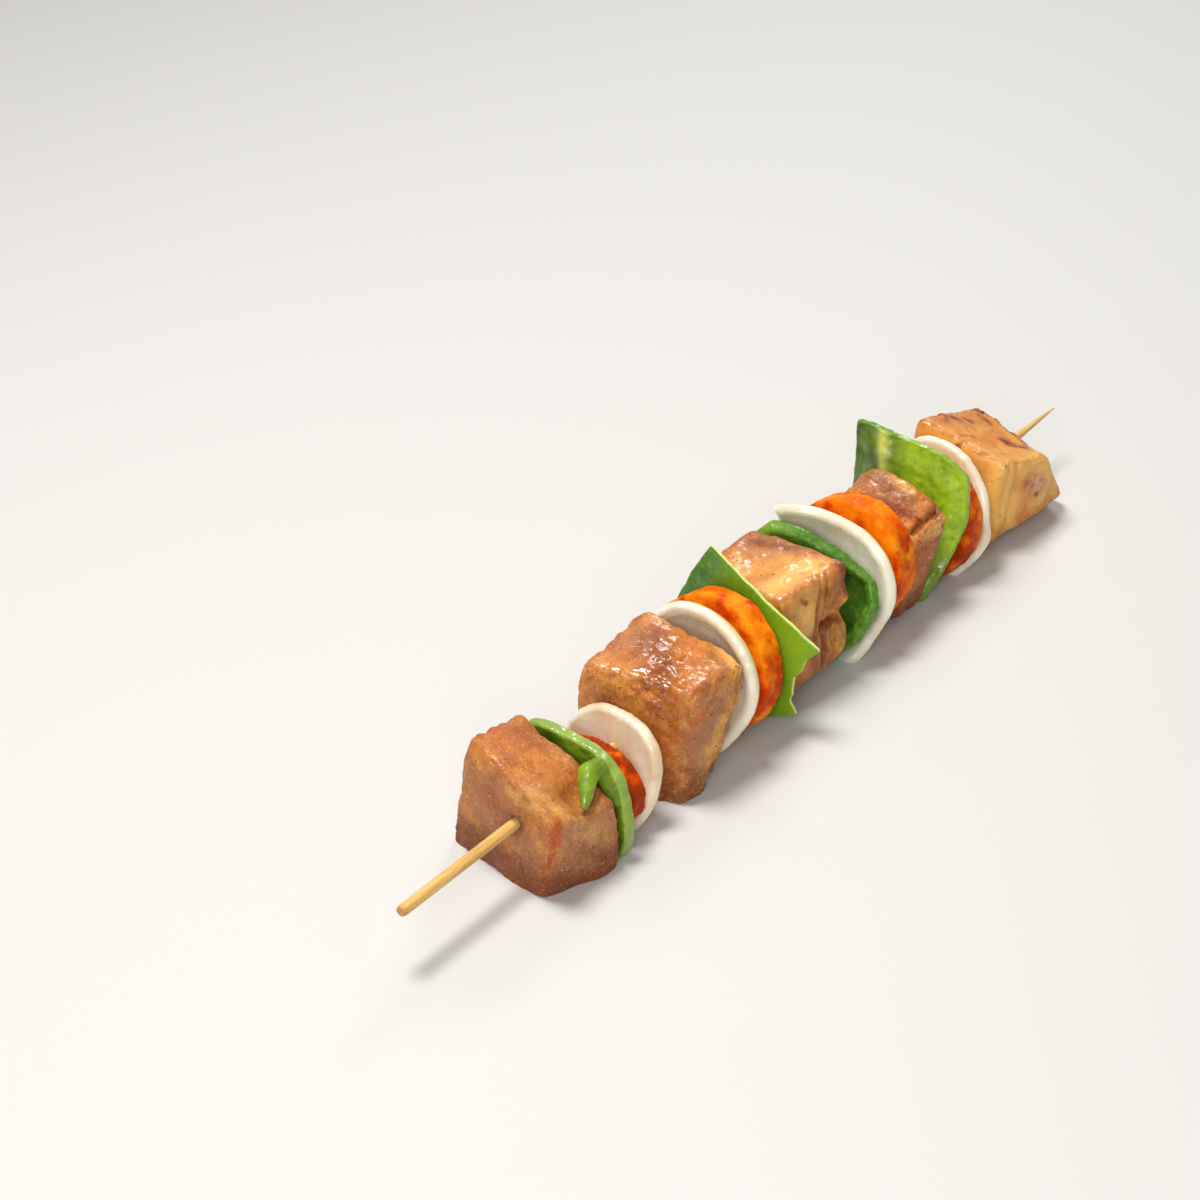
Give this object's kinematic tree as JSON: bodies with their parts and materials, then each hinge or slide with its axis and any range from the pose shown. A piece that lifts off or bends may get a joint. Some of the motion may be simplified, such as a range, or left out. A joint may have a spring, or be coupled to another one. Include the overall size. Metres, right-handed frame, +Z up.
{
  "type": "pork kebab skewer",
  "caption": "Grilled pork kebab on a bamboo stick: pork cubes with green pepper, carrot slices and onion petals, lying on its side.",
  "frame": {"origin": "middle of the footprint, on the surface that the kebab lies on", "axes": "+X along the stick from its blunt end to its point, +Z up"},
  "size_m": [0.25, 0.0426, 0.0373],
  "materials": {
    "bamboo": "smooth dry bamboo",
    "pork": "grilled pork with a thin glaze",
    "carrot": "moist cut carrot",
    "onion": "moist onion, slightly see-through",
    "pepper": "waxy green skin, paler inside"
  },
  "bodies": {
    "root": {"stick": "bamboo", "pork_1": "pork", "pork_2": "pork", "pork_3": "pork", "pork_4": "pork", "pork_5": "pork", "carrot_1": "carrot", "carrot_2": "carrot", "carrot_3": "carrot", "carrot_4": "carrot", "onion_1": "onion", "onion_2": "onion", "onion_3": "onion", "onion_4": "onion", "pepper_1": "pepper", "pepper_2": "pepper", "pepper_3": "pepper", "pepper_4": "pepper"}
  },
  "joints": []
}
